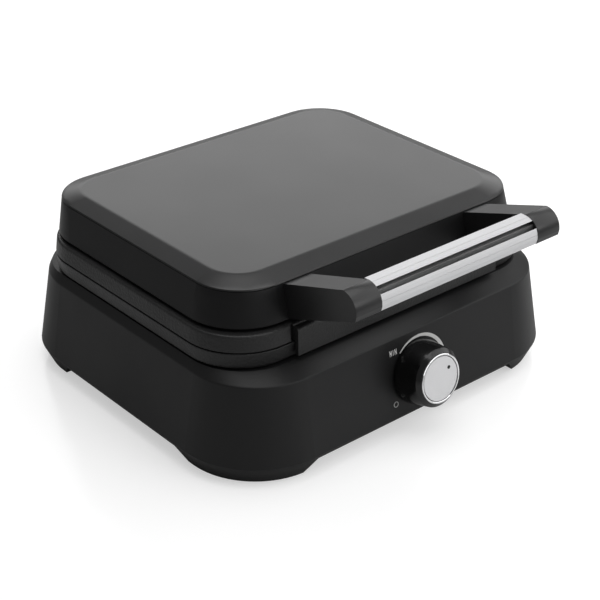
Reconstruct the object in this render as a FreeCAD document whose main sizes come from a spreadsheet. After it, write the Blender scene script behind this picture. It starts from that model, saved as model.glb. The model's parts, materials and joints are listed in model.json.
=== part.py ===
"""Waffle maker with a hinged lid, two cast waffle plates, a brushed handle bar and a rotary heat control.

Millimetres, +Z up, the front (handle and knob) towards -Y.  The origin is on the table, under the middle of
the space the closed object takes up.  Inside the script every place is counted from the middle of the base,
and each body's Placement carries it to that origin.
"""
import FreeCAD, Part
import math
import operator
import os
import Sketcher
from FreeCAD import Rotation, Vector

doc = FreeCAD.newDocument("WaffleMaker")

# ---------------------------------------------------------------- driving sizes

SIZES = {
    # base housing
    "base_width": 300.0,
    "base_depth": 266.2,
    "base_corner": 58.0,
    "skirt_top": 13.5,
    "wall_top": 67.3,
    "wall_lean": 9.1,
    "deck_rise": 5.5,
    "deck_inset_side": 13.0,
    "deck_corner": 41.0,
    "deck_inset_front": 23.7,
    "deck_inset_back": 13.6,
    "housing_wall": 2.6,
    "window_margin": 18.0,
    "post_x": 62.0,
    "post_inset": 25.1,
    "post_radius": 4.5,
    "post_hole_depth": 12.0,
    "shoulder_rounding": 0.8,
    "shoulder_share": 0.1,
    "plate_screw_depth": 7.0,
    "plate_screw_inset": 12.2,
    "plate_screw_y": 58.0,
    # bottom cover and feet
    "skirt_lean": 5.9,
    "skirt_strip": 3.0,
    "foot_reach_x": 62.0,
    "foot_reach_y": 71.0,
    "foot_end_slope": 10.0,
    "pad_inset_side": 32.0,
    "pad_inset_end": 34.1,
    "pad_radius": 10.0,
    "pad_stand": 0.8,
    "pad_seat": 2.0,
    # waffle plates
    "plate_overhang": 1.8,
    "plate_inset_front": 0.9,
    "plate_inset_back": 9.5,
    "plate_corner": 40.9,
    "plate_lean": 1.4,
    "plate_thick": 10.95,
    "plate_near_edge": 0.7,
    "plate_far_edge": 1.8,
    "cavity_depth": 8.4,
    "cavity_margin": 15.0,
    "cavity_lean": 2.0,
    "cavity_corner": 16.0,
    "deck_gap": 1.0,
    "seam_gap": 0.9,
    "peg_width": 13.0,
    "peg_height": 6.2,
    "peg_lean": 12.0,
    "peg_columns": 5,
    "peg_rows": 4,
    "rib_width": 7.0,
    "boss_radius": 6.0,
    # front lip of the upper plate
    "lip_width": 176.6,
    "lip_reach": 3.9,
    "lip_drop": 8.8,
    "lip_top_gap": 1.4,
    "lip_clear": 0.8,
    "lip_notch": 2.6,
    # lid
    "ring_gap": 1.6,
    "ring_lean": 5.7,
    "ring_inset_side": 10.3,
    "ring_inset_front": 10.6,
    "ring_inset_back": 0.3,
    "ring_corner": 34.1,
    "ring_back_lean": 1.3,
    "ring_height": 22.8,
    "ring_wall": 2.6,
    "ring_floor": 2.6,
    "ring_foot_edge": 1.2,
    "cover_gap": 0.5,
    "cover_edge": 0.9,
    "cover_crease": 1.2,
    "cover_crease_drop": 0.35,
    "rim_slack": 0.4,
    "cover_rise": 5.2,
    "cover_bevel_side": 12.5,
    "cover_bevel_front": 14.7,
    "cover_corner": 22.5,
    "cover_bevel_back": 12.9,
    "cover_wall": 2.4,
    "cover_rim": 3.5,
    "lid_post_x": 60.0,
    "lid_post_inset_front": 7.4,
    "lid_post_inset_back": 8.7,
    "lid_post_radius": 4.0,
    "lid_post_drop": 5.0,
    # handle
    "arm_outer": 88.5,
    "arm_inner": 68.0,
    "handle_out": 65.5,
    "handle_rise": 17.4,
    "arm_crease_reach": 53.1,
    "arm_under_rise": 0.8,
    "nose_radius": 12.2,
    "core_back_reach": 52.7,
    "core_front_reach": 60.7,
    "core_low_rise": 3.6,
    "core_high_rise": 13.0,
    "core_seat": 8.0,
    "arm_screw_low_drop": 16.5,
    "arm_screw_high_drop": 6.5,
    "sleeve_back_reach": 49.5,
    "sleeve_wall": 1.8,
    "sleeve_inset": 0.3,
    "sleeve_line_rise": 7.4,
    # hinge
    "hinge_reach": 9.5,
    "pin_radius": 2.5,
    "ear_radius": 6.5,
    "ear_thick": 7.0,
    "ear_inner": 70.0,
    "ear_gap": 14.0,
    "bracket_clear": 0.6,
    "bracket_foot": 4.7,
    "bracket_screw_inset": 2.7,
    "knuckle_play": 0.35,
    "hinge_screw_low_drop": 16.6,
    "hinge_screw_high_drop": 9.8,
    "arm_plate_low_drop": 21.5,
    "arm_plate_high_drop": 4.0,
    "arm_plate_thick": 3.6,
    "running_play": 0.05,
    "seat_play": 0.02,
    # knob and thermostat
    "knob_level": 38.8,
    "knob_radius": 20.4,
    "knob_length": 21.4,
    "knob_gap": 0.7,
    "knob_bevel": 2.8,
    "knob_flare": 1.6,
    "trim_inset": 3.6,
    "trim_width": 1.3,
    "disc_clear": 0.5,
    "dot_radius": 1.25,
    "dot_place": 9.5,
    "dot_angle": 34.0,
    "shaft_radius": 3.0,
    "bush_radius": 4.8,
    "thermostat_width": 26.0,
    "thermostat_depth": 16.0,
    "print_height": 0.15,
    "print_ring_radius": 2.0,
    "print_ring_x": 21.2,
    "print_ring_y": -16.5,
    "arc_start": -32.0,
    "arc_sweep": 168.0,
    "arc_side": 20.0,
    "arc_clear": 2.0,
    "arc_inner_shift": 1.4,
    "arc_line": 1.3,
    "arc_outer_shift": 2.7,
    "label_x": 22.8,
    "label_y": 18.0,
    "letter_width": 1.4,
    "letter_height": 3.4,
    "letter_pitch": 2.2,
    "letter_line": 0.42,
    "gland_radius": 7.0,
    "gland_x": -92.0,
    "gland_level": 34.0,
    # elements, shields, screws
    "tube_radius": 3.3,
    "element_inset_side": 43.8,
    "element_inset_front": 40.5,
    "element_inset_back": 36.0,
    "element_bend": 26.0,
    "element_tail": 22.0,
    "shield_inset_side": 20.8,
    "shield_inset_front": 24.5,
    "shield_inset_back": 20.0,
    "shield_corner": 22.0,
    "shield_depth": 12.0,
    "shield_sheet": 0.8,
    "screw_radius": 1.6,
    "screw_head": 3.2,
    "screw_head_height": 2.0,
}

sheet = doc.addObject("Spreadsheet::Sheet", "Sizes")
for row, (alias, number) in enumerate(SIZES.items(), start=1):
    sheet.set("A%d" % row, alias)
    sheet.set("B%d" % row, repr(number))
    sheet.setAlias("B%d" % row, alias)
doc.recompute()


class Size:
    """A number for the first drawing of a feature, with the expression that binds it to the sheet."""

    def __init__(self, value, text):
        self.value = float(value)
        self.text = text

    def joined(self, other, sign, act, swap=False):
        other = as_size(other)
        first, second = (other, self) if swap else (self, other)
        return Size(act(first.value, second.value), "(%s %s %s)" % (first.text, sign, second.text))

    def __add__(self, other):
        return self.joined(other, "+", operator.add)

    def __radd__(self, other):
        return self.joined(other, "+", operator.add, True)

    def __sub__(self, other):
        return self.joined(other, "-", operator.sub)

    def __rsub__(self, other):
        return self.joined(other, "-", operator.sub, True)

    def __mul__(self, other):
        return self.joined(other, "*", operator.mul)

    def __rmul__(self, other):
        return self.joined(other, "*", operator.mul, True)

    def __truediv__(self, other):
        return self.joined(other, "/", operator.truediv)

    def __neg__(self):
        return 0 - self


def as_size(item):
    """A plain number as a Size, so that both can be mixed in one sum."""
    if isinstance(item, Size):
        return item
    return Size(item, "(%r)" % float(item))


FITTED = {}


def size(alias):
    """The cell of the sheet with this alias, or the fitted size of that name."""
    return FITTED[alias] if alias in FITTED else Size(SIZES[alias], "Sizes." + alias)


def cosine(angle):
    """Cosine of an angle in degrees."""
    return Size(math.cos(math.radians(angle.value)), "cos(%s * 1 deg)" % angle.text)


def sine(angle):
    """Sine of an angle in degrees."""
    return Size(math.sin(math.radians(angle.value)), "sin(%s * 1 deg)" % angle.text)


# Sizes that follow others: each one is a driving size and a named clearance, inset or rise.
FITTED["deck_level"] = size("wall_top") + size("deck_rise")
FITTED["deck_width"] = size("base_width") - size("deck_inset_side") * 2
FITTED["deck_front"] = size("base_depth") / 2 - size("deck_inset_front")
FITTED["deck_back"] = size("base_depth") / 2 - size("deck_inset_back")
FITTED["post_y"] = size("base_depth") / 2 - size("post_inset")
FITTED["pad_x"] = size("base_width") / 2 - size("pad_inset_side")
FITTED["pad_y"] = size("base_depth") / 2 - size("pad_inset_end")
FITTED["plate_width"] = size("deck_width") + size("plate_overhang") * 2
FITTED["plate_front"] = size("deck_front") - size("plate_inset_front")
FITTED["plate_back"] = size("deck_back") - size("plate_inset_back")
FITTED["plate_screw_x"] = size("plate_width") / 2 - size("plate_screw_inset")
FITTED["lip_front"] = size("plate_front") + size("lip_reach")
FITTED["seam_level"] = size("deck_level") + size("deck_gap") + size("plate_thick") + size("seam_gap") / 2
FITTED["ring_width"] = size("plate_width") - size("ring_inset_side") * 2
FITTED["ring_front"] = size("plate_front") - size("ring_inset_front")
FITTED["ring_back"] = size("plate_back") - size("ring_inset_back")
FITTED["ring_level"] = (
    size("seam_level") + size("seam_gap") / 2 + size("plate_thick") + size("ring_gap") + size("ring_height")
)
FITTED["cover_top"] = size("ring_level") + size("cover_rise")
FITTED["lid_post_front"] = size("ring_front") - size("lid_post_inset_front")
FITTED["lid_post_back"] = size("ring_back") - size("lid_post_inset_back")
FITTED["lid_post_top"] = size("ring_level") - size("lid_post_drop")
FITTED["handle_reach"] = size("ring_front") + size("handle_out")
for part in ("arm_crease", "core_back", "core_front", "sleeve_back"):
    FITTED[part] = size("ring_front") + size(part + "_reach")
FITTED["handle_top"] = size("ring_level") + size("handle_rise")
for part in ("arm_under", "core_low", "core_high", "sleeve_line"):
    FITTED[part] = size("ring_level") + size(part + "_rise")
for part in ("arm_screw_low", "arm_screw_high", "hinge_screw_low", "hinge_screw_high", "arm_plate_low", "arm_plate_high"):
    FITTED[part] = size("ring_level") - size(part + "_drop")
FITTED["hinge_level"] = size("seam_level")
FITTED["hinge_back"] = size("plate_back") + size("hinge_reach")
FITTED["trim_radius"] = size("knob_radius") - size("trim_inset")
FITTED["disc_radius"] = size("trim_radius") - size("trim_width") - size("disc_clear")
FITTED["arc_inner"] = size("knob_radius") + size("arc_clear")
FITTED["arc_outer"] = size("arc_inner") + size("arc_line")
for part in ("element", "shield"):
    FITTED[part + "_half_width"] = size("plate_width") / 2 - size(part + "_inset_side")
    FITTED[part + "_front"] = size("plate_front") - size(part + "_inset_front")
    FITTED[part + "_back"] = size("plate_back") - size(part + "_inset_back")


def lean_angle(run, rise):
    """Angle in degrees of a face that moves sideways by run over a height of rise."""
    value = math.degrees(math.atan(run.value / rise.value))
    return Size(value, "(atan(%s / %s) / 1 deg)" % (run.text, rise.text))


# ---------------------------------------------------------------- drawing helpers

ORIGIN_Y = (size("handle_reach") - size("base_depth") / 2) / 2
NODES = {}


def bind(thing, prop, amount):
    """Bind one property to its size."""
    thing.setExpression(prop, as_size(amount).text)


def place(thing, x=0, y=0, z=0):
    """Place an object, counted from the middle of the base at table level."""
    bind(thing, "Placement.Base.x", x)
    bind(thing, "Placement.Base.y", as_size(y) + ORIGIN_Y)
    bind(thing, "Placement.Base.z", z)


def node(name, thing):
    """Name a finished piece; each one becomes a file in parts."""
    thing.Label = name
    NODES[name] = thing
    return thing


def new_body(name):
    """An empty body in the shared frame."""
    body = doc.addObject("PartDesign::Body", name)
    place(body)
    return node(name, body)


def origin_feature(body, role):
    """One of the body's own base planes or axes."""
    return [item for item in body.Origin.OriginFeatures if item.Role == role][0]


def new_sketch(body, name, plane, offset=0):
    """A sketch on a base plane of the body, moved along the plane's normal."""
    sketch = body.newObject("Sketcher::SketchObject", name)
    sketch.AttachmentSupport = (origin_feature(body, plane), [""])
    sketch.MapMode = "FlatFace"
    bind(sketch, "AttachmentOffset.Base.z", offset)
    return sketch


def pin_point(sketch, item, point, x, y):
    """Fix one point of a sketch to its two sizes."""
    for kind, amount, axis in (("DistanceX", as_size(x), -2), ("DistanceY", as_size(y), -1)):
        if abs(amount.value) < 1e-9:
            sketch.addConstraint(Sketcher.Constraint("PointOnObject", item, point, axis))
            continue
        ends = (-1, 1, item, point) if amount.value > 0 else (item, point, -1, 1)
        index = sketch.addConstraint(Sketcher.Constraint(kind, *ends, abs(amount.value)))
        signed = amount if amount.value > 0 else -amount
        bind(sketch, "Constraints[%d]" % index, signed)


def polygon(body, name, plane, points, offset=0):
    """A closed outline of straight lines through the given points."""
    sketch = new_sketch(body, name, plane, offset)
    corners = [Vector(as_size(x).value, as_size(y).value, 0) for x, y in points]
    count = len(corners)
    for i, corner in enumerate(corners):
        sketch.addGeometry(Part.LineSegment(corner, corners[(i + 1) % count]), False)
    for i in range(count):
        sketch.addConstraint(Sketcher.Constraint("Coincident", i, 2, (i + 1) % count, 1))
    for i, (x, y) in enumerate(points):
        pin_point(sketch, i, 1, x, y)
    return sketch


def rounded(body, name, level, outline):
    """A rounded rectangle at a level: half width, reach to the front, reach to the back, corner radius."""
    half, front, back, corner = (as_size(item) for item in outline)
    sketch = new_sketch(body, name, "XY_Plane", level)
    w, f, b, r = half.value, -front.value, back.value, corner.value
    middles = ((w - r, f + r), (w - r, b - r), (-w + r, b - r), (-w + r, f + r))
    for i, (x, y) in enumerate(middles):
        start = math.radians(90 * i - 90)
        circle = Part.Circle(Vector(x, y, 0), Vector(0, 0, 1), r)
        sketch.addGeometry(Part.ArcOfCircle(circle, start, start + math.pi / 2), False)
    straight = (
        ((w, f + r), (w, b - r)),
        ((w - r, b), (-w + r, b)),
        ((-w, b - r), (-w, f + r)),
        ((-w + r, f), (w - r, f)),
    )
    for start, end in straight:
        sketch.addGeometry(Part.LineSegment(Vector(*start, 0), Vector(*end, 0)), False)
    for i in range(4):
        sketch.addConstraint(Sketcher.Constraint("Tangent", i, 2, 4 + i, 1))
        sketch.addConstraint(Sketcher.Constraint("Tangent", 4 + i, 2, (i + 1) % 4, 1))
        sketch.addConstraint(Sketcher.Constraint("Horizontal" if i % 2 else "Vertical", 4 + i))
    for i in range(1, 4):
        sketch.addConstraint(Sketcher.Constraint("Equal", 0, i))
    rules = (
        (Sketcher.Constraint("Radius", 0, r), corner),
        (Sketcher.Constraint("DistanceX", -1, 1, 4, 1, w), half),
        (Sketcher.Constraint("DistanceX", 6, 1, -1, 1, w), half),
        (Sketcher.Constraint("DistanceY", -1, 1, 5, 1, b), back),
        (Sketcher.Constraint("DistanceY", 7, 1, -1, 1, -f), front),
    )
    for rule, amount in rules:
        bind(sketch, "Constraints[%d]" % sketch.addConstraint(rule), amount)
    return sketch


def circles(body, name, plane, offset, spots, radius):
    """Equal circles in one sketch."""
    radius = as_size(radius)
    sketch = new_sketch(body, name, plane, offset)
    for i, (x, y) in enumerate(spots):
        middle = Vector(as_size(x).value, as_size(y).value, 0)
        sketch.addGeometry(Part.Circle(middle, Vector(0, 0, 1), radius.value), False)
        pin_point(sketch, i, 3, x, y)
        index = sketch.addConstraint(Sketcher.Constraint("Radius", i, radius.value))
        bind(sketch, "Constraints[%d]" % index, radius)
    return sketch


def loft(body, kind, name, *stations):
    """A ruled loft through (level, outline) stations: kind is AdditiveLoft or SubtractiveLoft."""
    sections = [
        rounded(body, "%s_station_%d" % (name, i), level, outline)
        for i, (level, outline) in enumerate(stations, start=1)
    ]
    feature = body.newObject("PartDesign::" + kind, name)
    feature.Profile = sections[0]
    feature.Sections = sections[1:]
    feature.Ruled = True
    return feature


def eased(low, edge, high, steps=4):
    """Stations that round an edge off, from a station below it to a station above it."""
    flat = [(level, *outline) for level, outline in (low, edge, high)]
    stations = []
    for i in range(steps + 1):
        share = i / steps
        weights = ((1 - share) ** 2, 2 * share * (1 - share), share ** 2)
        level, *outline = (sum(value * weight for value, weight in zip(item, weights)) for item in zip(*flat))
        stations.append((level, tuple(outline)))
    return stations


def extrude(body, kind, name, sketch, length, both=False, back=False):
    """A Pad or Pocket of the sketch: both sides of its plane, or against its normal."""
    feature = body.newObject("PartDesign::" + kind, name)
    feature.Profile = sketch
    bind(feature, "Length", length)
    feature.SideType = "Symmetric" if both else "One side"
    feature.Reversed = back
    return feature


def turned(body, name, points):
    """A solid of revolution about the body's Z axis from (radius, height) points."""
    sketch = polygon(body, name + "_profile", "XZ_Plane", points)
    feature = body.newObject("PartDesign::Revolution", name)
    feature.Profile = sketch
    feature.ReferenceAxis = (sketch, ["V_Axis"])
    feature.Angle = 360
    return feature


def fillet(body, name, feature, radius, wanted):
    """Round the edges of a feature whose bounding boxes pass the test."""
    doc.recompute()
    names = ["Edge%d" % i for i, edge in enumerate(feature.Shape.Edges, start=1) if wanted(edge.BoundBox)]
    rounding = body.newObject("PartDesign::Fillet", name)
    rounding.Base = (feature, names)
    bind(rounding, "Radius", radius)
    return rounding


def at_level(level, reach=0):
    """Test for flat edges lying at one height, further out than reach."""
    high = as_size(level).value
    far = as_size(reach).value

    def wanted(box):
        flat = abs(box.ZMin - high) < 0.01 and abs(box.ZMax - high) < 0.01
        return flat and max(abs(box.XMin), abs(box.XMax), abs(box.YMin), abs(box.YMax)) > far

    return wanted


def along_x(y, z):
    """Test for edges that run sideways at one reach and height."""
    want = (as_size(y).value, as_size(z).value)

    def wanted(box):
        return all(abs(a - b) < 0.02 for a, b in zip((box.YMin, box.ZMin, box.YMax, box.ZMax), want * 2))

    return wanted


def cylinder(name, radius, height, x=0, y=0, z=0):
    """An upright cylinder standing at a place."""
    piece = doc.addObject("Part::Cylinder", name)
    bind(piece, "Radius", radius)
    bind(piece, "Height", height)
    place(piece, x, y, z)
    return piece


def block(name, length, width, height, x=0, y=0, z=0):
    """A box with its low corner at a place."""
    piece = doc.addObject("Part::Box", name)
    bind(piece, "Length", length)
    bind(piece, "Width", width)
    bind(piece, "Height", height)
    place(piece, x, y, z)
    return piece


def joined(name, *pieces):
    """One solid out of several."""
    result = doc.addObject("Part::MultiFuse", name)
    result.Shapes = list(pieces)
    return result


def cut(name, base, tool):
    """The base with the tool taken away."""
    result = doc.addObject("Part::Cut", name)
    result.Base = base
    result.Tool = tool
    return result


def group(name, pieces):
    """Equal pieces that share one node as separate solids."""
    result = doc.addObject("Part::Compound", name)
    result.Links = pieces
    return node(name, result)


def screws(name, spots, length, up=True):
    """Pan head screws standing on their heads (up) or hanging from them: (x, y, z of the head's seat)."""
    pieces = []
    head, head_height = size("screw_head"), size("screw_head_height")
    for i, (x, y, seat) in enumerate(spots, start=1):
        low_head = as_size(seat) - head_height if up else as_size(seat)
        low_shank = as_size(seat) - 0.5 if up else as_size(seat) - length
        pieces.append(joined(
            "%s_%d" % (name, i),
            cylinder("%s_head_%d" % (name, i), head, head_height, x, y, low_head),
            cylinder("%s_shank_%d" % (name, i), size("screw_radius"), as_size(length) + 0.5, x, y, low_shank),
        ))
    return group(name, pieces)


def cross_screws(name, spots, length, forward):
    """Pan head screws lying along Y: (x, y, z of the head's seat), pointing forwards or backwards."""
    pieces = []
    away = -1 if forward else 1
    for i, (x, y, z) in enumerate(spots, start=1):
        head = cylinder(
            "%s_head_%d" % (name, i), size("screw_head"), size("screw_head_height"),
            x, as_size(y) - size("screw_head_height") * away, z,
        )
        shank = cylinder(
            "%s_shank_%d" % (name, i), size("screw_radius"), as_size(length) + 0.5, x, as_size(y) - 0.5 * away, z,
        )
        for part in (head, shank):
            part.Placement.Rotation = Rotation(Vector(1, 0, 0), -90 * away)
        pieces.append(joined("%s_%d" % (name, i), head, shank))
    return group(name, pieces)


def sideways(piece):
    """Lay a cylinder along X, starting at its place."""
    piece.Placement.Rotation = Rotation(Vector(0, 1, 0), 90)
    return piece


def grown(outline, by):
    """A rounded rectangle moved outwards (or inwards, if by is negative) by an equal distance."""
    return tuple(as_size(item) + by for item in outline)


def four(x, front, back, z):
    """Four spots, two in front and two behind."""
    return [(side * x, y, z) for y in (-as_size(front), as_size(back)) for side in (-1, 1)]


# ---------------------------------------------------------------- shared outlines and levels

skirt_top, wall_top, deck_level = size("skirt_top"), size("wall_top"), size("deck_level")
wall, wall_lean = size("housing_wall"), size("wall_lean")
BASE_LOW = (size("base_width") / 2, size("base_depth") / 2, size("base_depth") / 2, size("base_corner"))
BASE_HIGH = grown(BASE_LOW, -wall_lean)
DECK = (size("deck_width") / 2, size("deck_front"), size("deck_back"), size("deck_corner"))

PLATE = (size("plate_width") / 2, size("plate_front"), size("plate_back"), size("plate_corner"))
PLATE_FAR = grown(PLATE, -size("plate_lean"))
CAVITY = grown(PLATE, -size("cavity_margin"))[:3] + (size("cavity_corner"),)
WINDOW = grown(PLATE, -size("window_margin"))
seam, gap, plate_thick = size("seam_level"), size("seam_gap"), size("plate_thick")
lower_face = seam - gap / 2
upper_face = seam + gap / 2
lower_back = lower_face - plate_thick
upper_back = upper_face + plate_thick

ring_level = size("ring_level")
ring_low = upper_back + size("ring_gap")
RING_HIGH = (size("ring_width") / 2, size("ring_front"), size("ring_back"), size("ring_corner"))
ring_lean = size("ring_lean")
RING_LOW = (
    RING_HIGH[0] + ring_lean,
    RING_HIGH[1] + ring_lean,
    RING_HIGH[2] + size("ring_back_lean"),
    RING_HIGH[3] + ring_lean,
)


def between(low, high, low_level, high_level, level):
    """The outline at a level of a wall that runs straight from one outline to another."""
    share = (level - low_level) / (high_level - low_level)
    return tuple(a + (b - a) * share for a, b in zip(low, high))


def ring_at(level):
    return between(RING_LOW, RING_HIGH, ring_low, ring_level, level)


def base_at(level):
    return between(BASE_LOW, BASE_HIGH, skirt_top, wall_top, level)


screw_hole = size("screw_radius") + size("seat_play")
front_tilt = lean_angle(wall_lean, wall_top - skirt_top)
knob_level = size("knob_level")
knob_front = base_at(knob_level)[1]


def on_front_wall(thing):
    """Stand an object's own Z axis square on the front wall, at the middle of the knob."""
    place(thing, 0, -knob_front, knob_level)
    thing.Placement.Rotation = Rotation(Vector(1, 0, 0), 90 - front_tilt.value)
    bind(thing, "Placement.Rotation.Angle", 90 - front_tilt)


# ---------------------------------------------------------------- base housing

housing = new_body("base_housing")
shoulder_low = wall_top - size("shoulder_rounding")
shoulder_high = wall_top + (deck_level - wall_top) * size("shoulder_share")
shoulder = eased(
    (shoulder_low, base_at(shoulder_low)), (wall_top, BASE_HIGH),
    (shoulder_high, between(BASE_HIGH, DECK, wall_top, deck_level, shoulder_high)),
)
loft(housing, "AdditiveLoft", "housing_outside", (skirt_top, BASE_LOW), *shoulder, (deck_level, DECK))
loft(
    housing, "SubtractiveLoft", "housing_inside",
    (skirt_top, grown(BASE_LOW, -wall)), (wall_top - wall, grown(base_at(wall_top - wall), -wall)),
    (deck_level - wall, grown(DECK, -wall)),
)
extrude(
    housing, "Pocket", "deck_window",
    rounded(housing, "window_outline", deck_level, WINDOW), wall * 2,
)
posts = four(size("post_x"), size("post_y"), size("post_y"), skirt_top)
extrude(
    housing, "Pad", "cover_posts",
    circles(housing, "post_circles", "XY_Plane", skirt_top, [p[:2] for p in posts], size("post_radius")),
    deck_level - wall / 2 - skirt_top,
)
extrude(
    housing, "Pocket", "post_holes",
    circles(housing, "post_hole_circles", "XY_Plane", skirt_top, [p[:2] for p in posts], screw_hole),
    size("post_hole_depth"), back=True,
)
plate_spots = four(size("plate_screw_x"), size("plate_screw_y"), size("plate_screw_y"), deck_level - wall)
extrude(
    housing, "Pocket", "plate_screw_holes",
    circles(housing, "plate_screw_circles", "XY_Plane", deck_level, [p[:2] for p in plate_spots], screw_hole),
    wall * 2,
)

# screw holes for the hinge brackets
hinge_y, hinge_z, ear = size("hinge_back"), size("hinge_level"), size("ear_radius")
ear_inner, ear_thick, ear_gap = size("ear_inner"), size("ear_thick"), size("ear_gap")
bracket_width = ear_thick * 2 + ear_gap
knuckle_middle = ear_inner + bracket_width / 2
foot_front = size("plate_back") + size("bracket_clear")
bracket_spots = [
    (side * knuckle_middle, foot_front + size("bracket_screw_inset"), deck_level - wall) for side in (-1, 1)
]
extrude(
    housing, "Pocket", "bracket_screw_holes",
    circles(housing, "bracket_screw_circles", "XY_Plane", deck_level, [p[:2] for p in bracket_spots], screw_hole),
    wall * 2,
)

# openings square to the leaning walls: the thermostat's bush in front, the cord inlet behind
for name, x, level, radius, lean in (
    ("bush_hole", as_size(0), knob_level, size("bush_radius"), -1),
    ("gland_hole", size("gland_x"), size("gland_level"), size("gland_radius"), 1),
):
    hole = circles(housing, name + "_circle", "XZ_Plane", base_at(level)[1] * -lean, [(0, 0)], radius + size("seat_play"))
    bind(hole, "AttachmentOffset.Base.x", x)
    bind(hole, "AttachmentOffset.Base.y", level)
    hole.AttachmentOffset.Rotation = Rotation(Vector(lean, 0, 0), front_tilt.value)
    bind(hole, "AttachmentOffset.Rotation.Angle", front_tilt)
    extrude(housing, "Pocket", name, hole, wall * 4, both=True)

# ---------------------------------------------------------------- bottom cover, feet, pads

cover = new_body("bottom_cover")
FOOT = grown(BASE_LOW, -size("skirt_lean"))
strip_low = skirt_top - size("skirt_strip")
loft(cover, "AdditiveLoft", "skirt", (size("pad_stand"), FOOT), (skirt_top, BASE_LOW))
reach_x = BASE_LOW[0] - size("foot_reach_x")
reach_y = BASE_LOW[1] - size("foot_reach_y")
slope = size("foot_end_slope")
for name, plane, reach in (("front_to_back", "XZ_Plane", reach_x), ("side_to_side", "YZ_Plane", reach_y)):
    tunnel = polygon(
        cover, name + "_outline", plane,
        ((-reach, strip_low), (-reach - slope, -1), (reach + slope, -1), (reach, strip_low)),
    )
    extrude(cover, "Pocket", name + "_arch", tunnel, size("base_width") * 2, both=True)
pads = four(size("pad_x"), size("pad_y"), size("pad_y"), 0)
extrude(
    cover, "Pocket", "pad_seats",
    circles(
        cover, "pad_seat_circles", "XY_Plane", size("pad_stand"), [p[:2] for p in pads],
        size("pad_radius") + size("seat_play"),
    ),
    size("pad_seat"), back=True,
)
extrude(
    cover, "Pocket", "cover_screw_holes",
    circles(cover, "cover_screw_circles", "XY_Plane", skirt_top, [p[:2] for p in posts], screw_hole),
    size("skirt_strip") * 2,
)
group("foot_pads", [
    cylinder("foot_pad_%d" % i, size("pad_radius"), size("pad_stand") + size("pad_seat"), x, y, 0)
    for i, (x, y, z) in enumerate(pads, start=1)
])
screws("cover_screws", [(x, y, strip_low) for x, y, z in posts], size("skirt_strip") + size("post_hole_depth") - 1)

# ---------------------------------------------------------------- waffle plates

FLOOR = grown(CAVITY, -size("cavity_lean"))
rib, peg = size("rib_width"), size("peg_width")
columns, rows = size("peg_columns"), size("peg_rows")
pitch_x = (FLOOR[0] - rib / 2) / columns
pitch_y = ((FLOOR[1] + FLOOR[2]) - rib) / 2 / rows
middle_y = (FLOOR[2] - FLOOR[1]) / 2
WAFFLE_PATTERN = (
    ("X_Axis", pitch_x, columns),
    ("Y_Axis", pitch_y, rows),
    ("X_Axis", FLOOR[0] + rib / 2, as_size(2)),
    ("Y_Axis", (FLOOR[1] + FLOOR[2] + rib) / 2, as_size(2)),
)


def plate_at(level, face, back):
    return between(PLATE, PLATE_FAR, face, back, level)


def waffle_plate(name, face, back, up):
    """A cast plate with four shallow grids.  Up says whether its metal lies above its cooking face."""
    plate = new_body(name)
    away = 1 if up else -1
    floor = face + size("cavity_depth") * away
    near, far = size("plate_near_edge"), size("plate_far_edge")
    rim_low, rim_high = face + near * away, back - far * away
    loft(
        plate, "AdditiveLoft", name + "_blank",
        *eased((face, grown(PLATE, -near)), (face, PLATE), (rim_low, plate_at(rim_low, face, back))),
        *eased((rim_high, plate_at(rim_high, face, back)), (back, PLATE_FAR), (back, grown(PLATE_FAR, -far))),
    )
    loft(plate, "SubtractiveLoft", name + "_cavity", (face, CAVITY), (floor, FLOOR))
    half, reach_front, reach_back = FLOOR[0] + 1, -FLOOR[1] - 1, FLOOR[2] + 1
    low_y, high_y = middle_y - rib / 2, middle_y + rib / 2
    cross = polygon(
        plate, name + "_cross", "XY_Plane",
        ((-rib / 2, reach_front), (rib / 2, reach_front), (rib / 2, low_y), (half, low_y), (half, high_y),
         (rib / 2, high_y), (rib / 2, reach_back), (-rib / 2, reach_back), (-rib / 2, high_y),
         (-half, high_y), (-half, low_y), (-rib / 2, low_y)),
        floor,
    )
    extrude(plate, "Pad", name + "_ribs", cross, size("peg_height"), back=up)
    first_x = -FLOOR[0] + pitch_x / 2 - peg / 2
    first_y = -FLOOR[1] + pitch_y / 2 - peg / 2
    foot = polygon(
        plate, name + "_peg_foot", "XY_Plane",
        ((first_x, first_y), (first_x + peg, first_y), (first_x + peg, first_y + peg), (first_x, first_y + peg)),
        floor,
    )
    first = extrude(plate, "Pad", name + "_peg", foot, size("peg_height"), back=up)
    bind(first, "TaperAngle", -size("peg_lean"))
    pattern = plate.newObject("PartDesign::MultiTransform", name + "_pegs")
    pattern.Originals = [first]
    steps = []
    for i, (axis, step, count) in enumerate(WAFFLE_PATTERN, start=1):
        line = doc.addObject("PartDesign::LinearPattern", "%s_line_%d" % (name, i))
        line.Direction = (origin_feature(plate, axis), [""])
        bind(line, "Length", step * (count - 1))
        bind(line, "Occurrences", count)
        steps.append(line)
        plate.Group = plate.Group + [line]
    pattern.Transformations = steps
    plate.Tip = pattern
    extrude(
        plate, "Pad", name + "_boss",
        circles(plate, name + "_boss_circle", "XY_Plane", back - 0.5 * away, [(0, 0)], size("boss_radius")),
        boss_length + 0.5, back=not up,
    )
    extrude(
        plate, "Pocket", name + "_boss_hole",
        circles(plate, name + "_boss_hole_circle", "XY_Plane", back + boss_length * away, [(0, 0)], screw_hole),
        boss_length, back=not up,
    )
    extrude(
        plate, "Pocket", name + "_screw_holes",
        circles(plate, name + "_screw_circles", "XY_Plane", back, [p[:2] for p in plate_spots], screw_hole),
        size("plate_screw_depth"), back=not up,
    )
    return plate


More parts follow.
